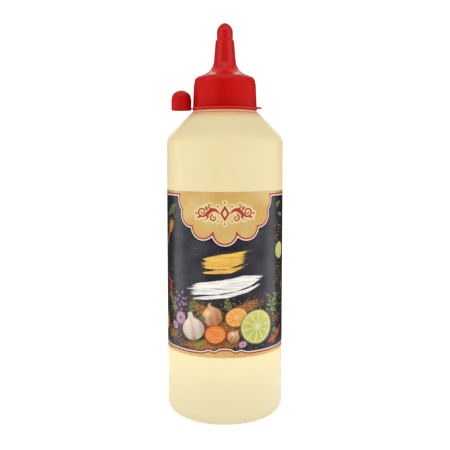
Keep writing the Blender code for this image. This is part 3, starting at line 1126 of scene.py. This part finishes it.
def makeRibs(material):
    maker = bpy.data.objects.new("ribMaker", bpy.data.meshes.new("ribMaker"))
    bpy.context.scene.collection.objects.link(maker)
    modifier = maker.modifiers.new("ribs", "NODES")
    modifier.node_group = ribTree()
    values = ribs | {"Material": material}
    for item in modifier.node_group.interface.items_tree:
        if item.in_out == "INPUT":
            modifier[item.identifier] = values[item.name]
    made = maker.evaluated_get(bpy.context.evaluated_depsgraph_get())
    mesh = bpy.data.meshes.new_from_object(made)
    bpy.data.objects.remove(maker)
    piece = bpy.data.objects.new("gripRibs", mesh)
    bpy.context.scene.collection.objects.link(piece)
    settle(piece, "screw_cap")
    print("grip ribs made:", len(mesh.polygons), "faces")


# Tether ring, pull tab, strap and tip cap

tether = {
    "inner": 16.9,
    "outer": 18.05,
    "bottom": 169.64,
    "top": 171.54,
    "rootDepth": 0.6,
    "tabEnd": tetherHigh.x / mm,
    "tabRise": 1.5,
    "tabWidth": 5.0,
    "tabDroop": 0.35,
    "strapEnd": tetherLow.x / mm + 10.7,
    "strapRise": 1.1,
    "strapSag": 0.12,
    "strapWidth": 3.6,
    "strapThick": 0.65,
    "tipRadius": 5.6,
    "tipBottom": tetherLow.z / mm + 0.3,
    "tipStep": 176.0,
    "tipStepDepth": 0.15,
    "tipTop": tetherHigh.z / mm - 0.3,
    "tipBore": 4.45,
    "tipBoreTop": 178.6,
    "columns": 96,
    "bladeCorners": 12,
}


def makeRing(material):
    t = tether
    corners = [
        (t["inner"], t["bottom"]),
        (t["outer"], t["bottom"], 0.8, 8),
        (t["outer"], t["top"], 0.3, 6),
        (t["inner"], t["top"]),
    ]
    ring = turn("tetherRing", drawOutline(corners), evenAngles(cap["columns"]), material)
    settle(ring, "tip_cap_tether")


def makeBlade(name, stations, material):
    # a flat tongue along X: stations are (x, middle height, thickness, width) in millimetres
    vertices = []
    corners = tether["bladeCorners"]
    for x, height, thick, width in stations:
        for corner in range(corners):
            angle = math.tau * (corner + 0.5) / corners
            side = math.copysign(abs(math.cos(angle)) ** 0.35, math.cos(angle))
            rise = math.copysign(abs(math.sin(angle)) ** 0.6, math.sin(angle))
            vertices.append((x * mm, side * width / 2 * mm, (height + rise * thick / 2) * mm))
    last = (len(stations) - 1) * corners
    faces = []
    for here in range(0, last, corners):
        for corner in range(corners):
            beside = here + (corner + 1) % corners
            faces.append((here + corner, beside, beside + corners, here + corner + corners))
    faces.append(tuple(range(corners)))
    faces.append(tuple(range(last + corners - 1, last - 1, -1)))
    settle(addPiece(name, vertices, faces, material, sharp=50), "tip_cap_tether")


def makeTabAndStrap(material):
    t = tether
    root = t["outer"] - t["rootDepth"]
    shares = [step / 8 for step in range(9)]
    tab = []
    for share in shares:
        x = root + (t["tabEnd"] - root) * math.sin(share * math.pi / 2)
        height = t["bottom"] + t["tabRise"] - t["tabDroop"] * share ** 2
        endRound = math.sqrt(max(0.0, 1 - share ** 6))
        tab.append((x, height, 1.1 - 0.4 * share, t["tabWidth"] * (0.35 + 0.65 * endRound)))
    makeBlade("pullTab", tab, material)
    strap = []
    for share in shares:
        bow = math.sin(math.pi * share)
        x = share * (t["strapEnd"] + root) - root
        height = t["bottom"] + t["strapRise"] - t["strapSag"] * bow
        strap.append((x, height, t["strapThick"], t["strapWidth"] * (1 - 0.25 * bow)))
    makeBlade("tetherStrap", strap, material)


def makeTipCap(material):
    t = tether
    corners = [
        (0.0, t["tipBoreTop"]),
        (t["tipBore"] * 0.6, t["tipBoreTop"] - 0.5, 1.5, 5),
        (t["tipBore"], t["tipBoreTop"] - 2.6, 1.0, 4),
        (t["tipBore"], t["tipBottom"], 0.2, 3),
        (t["tipRadius"], t["tipBottom"], 0.5, 6),
        (t["tipRadius"], t["tipStep"], 0.1, 3),
    ]
    radius, rise = t["tipRadius"] - t["tipStepDepth"], t["tipTop"] - t["tipStep"]
    for step in range(24):
        angle = math.pi / 2 * step / 24
        corners.append((radius * math.cos(angle), t["tipStep"] + rise * math.sin(angle)))
    corners.append((0.0, t["tipTop"]))
    axisX = tetherLow.x + t["tipRadius"] * mm
    piece = turn("tipCap", drawOutline(corners, longest=1.5), evenAngles(t["columns"]), material, axisX, 40)
    settle(piece, "tip_cap_tether")
    print("tether and tip cap made")


# Floor, light and camera

stage = {
    "width": 6.0,
    "front": -2.0,
    "back": 2.2,
    "rise": 2.5,
    "bend": 1.0,
    "floorHeight": -0.00005,
    "floorGlow": 0.50,
    "cardGlow": 1.45,
    "cardShade": (18.0, 62.0),
    "cardFade": (105.0, 180.0),
    "worldToCamera": 1.0,
    "worldLight": 0.61,
    "worldGloss": 0.04,
    "panelDistance": 0.42,
    # one of each at both sides, (name, front, back, bottom, top, glow); the high one is for the cap
    "sidePanels": (
        ("High", -0.62, -0.02, 0.24, 0.85, 0.75),
        ("Low", -0.02, 0.17, -0.10, 0.24, 1.4),
        ("Fill", -0.62, -0.02, -0.10, 0.24, 0.55),
    ),
    # (name, place, height aimed at, width, height, glow)
    "upperPanels": (
        ("frontFill", (0, -0.75, 1.15), 0.12, 1.0, 0.5, 1.38),
        ("overhead", (0, 0.05, 1.15), 0.0, 0.9, 0.8, 0.38),
        ("crownBack", (0, 0.95, 0.82), 0.2, 0.9, 0.35, 0.8),
        ("crownGloss", (0, 0.75, 0.95), 0.2, 1.9, 0.9, 0.45),
    ),
    "glossOnly": ("crownGloss",),
}


def makeStage():
    finish = Finish("paleFloor")
    grain = finish.noise(finish.place(), 0.02, 3.0)
    material = finish.set(
        Base_Color=finish.mix("f1f1f0", "f7f7f6", grain),
        Roughness=0.8,
        Emission_Color=tone("ffffff"),
        Emission_Strength=stage["floorGlow"],
    )
    ground, bend = stage["floorHeight"], stage["bend"]
    foot = stage["back"] - bend
    profile = [(stage["front"], ground), (foot, ground)]
    for step in range(1, 17):
        angle = math.pi / 2 * step / 16
        profile.append((foot + bend * math.sin(angle), ground + bend * (1 - math.cos(angle))))
    profile.append((stage["back"], stage["rise"]))
    half = stage["width"] / 2
    vertices = [(side, y, z) for y, z in profile for side in (-half, half)]
    faces = [(2 * i, 2 * i + 1, 2 * i + 3, 2 * i + 2) for i in range(len(profile) - 1)]
    floor = addPiece("floorSweep", vertices, faces, material, sharp=80)
    floor.visible_glossy = False


def makeCard():
    # a white ring on the floor round the bottle, which shows only in the gloss of its lower part
    finish = Finish("whiteCard")
    x, y = finish.split(finish.place())[:2]
    away = (x * x + y * y).math("SQRT")
    lit = away.between(*stage["cardShade"]) * away.between(*reversed(stage["cardFade"]))
    material = finish.set(
        Base_Color=tone("000000"),
        Roughness=1.0,
        Emission_Color=finish.mix("000000", "ffffff", lit),
        Emission_Strength=stage["cardGlow"],
    )
    reach = stage["cardFade"][1] * mm
    corners = [(-reach, -reach, 0.0), (reach, -reach, 0.0), (reach, reach, 0.0), (-reach, reach, 0.0)]
    card = addPiece("floorCard", corners, [(0, 1, 2, 3)], material)
    for ray in ("camera", "diffuse", "transmission", "shadow"):
        setattr(card, "visible_" + ray, False)


def makeWorld():
    # one strength for what the camera sees, one for gloss and one for the rest
    world = bpy.data.worlds.new("whiteRoom")
    bpy.context.scene.world = world
    world.use_nodes = True
    maker = Nodes(world.node_tree)
    path = maker.node("ShaderNodeLightPath").outputs
    lit = {0: path["Is Glossy Ray"], 2: stage["worldLight"], 3: stage["worldGloss"]}
    seen = {0: path["Is Camera Ray"], 2: maker.first("ShaderNodeMix", lit), 3: stage["worldToCamera"]}
    ground = world.node_tree.nodes["Background"]
    ground.inputs["Color"].default_value = (1, 1, 1, 1)
    maker.plug(maker.first("ShaderNodeMix", seen), ground.inputs["Strength"])


def addPanel(name, place, aim, width, height, glow):
    lamp = bpy.data.lights.new(name, "AREA")
    lamp.shape = "RECTANGLE"
    lamp.size = width
    lamp.size_y = height
    lamp.energy = glow * math.pi * width * height
    holder = bpy.data.objects.new(name, lamp)
    holder.location = place
    holder.rotation_euler = (Vector(aim) - Vector(place)).to_track_quat("-Z", "Y").to_euler()
    holder.visible_diffuse = name not in stage["glossOnly"]
    bpy.context.scene.collection.objects.link(holder)


def makeLight():
    makeWorld()
    for side, name in ((-1, "panelLeft"), (1, "panelRight")):
        for part, near, far, low, high, glow in stage["sidePanels"]:
            y, z = (near + far) / 2, (low + high) / 2
            place = (side * stage["panelDistance"], y, z)
            addPanel(name + part, place, (0, y, z), far - near, high - low, glow)
    for name, place, aimed, width, height, glow in stage["upperPanels"]:
        addPanel(name, place, (0, 0, aimed), width, height, glow)


photo = {
    "width": 450,
    "axisRow": 210,
    "axisColumn": 224.85,
    "focalPixels": 687.6,
    "sensor": 36.0,
    "distance": 387.9 * mm,
    "height": 143.5 * mm,
    "tilt": math.radians(4.367),
}


def makeCamera():
    lens = bpy.data.cameras.new("photoCamera")
    lens.sensor_width = photo["sensor"]
    lens.lens = photo["focalPixels"] * photo["sensor"] / photo["width"]
    lens.shift_y = (photo["axisRow"] - photo["width"] / 2) / photo["width"]
    lens.shift_x = (photo["width"] / 2 - photo["axisColumn"]) / photo["width"]
    lens.clip_start = 0.01
    holder = bpy.data.objects.new("photoCamera", lens)
    holder.location = (0.0, -photo["distance"], photo["height"])
    holder.rotation_euler = (math.pi / 2 - photo["tilt"], 0.0, 0.0)
    bpy.context.scene.collection.objects.link(holder)
    bpy.context.scene.camera = holder


makeCamera()
makeLight()
makeStage()
makeCard()
makeBottle()
makeSauce()
makeLabel()
capRed = redFinish("capRed", 184.5, banded=True)
makeCap(capRed)
makeRibs(capRed)
makeRing(capRed)
makeTabAndStrap(capRed)
makeTipCap(redFinish("tipRed", 176.5))
bpy.context.scene.view_settings.view_transform = "Standard"
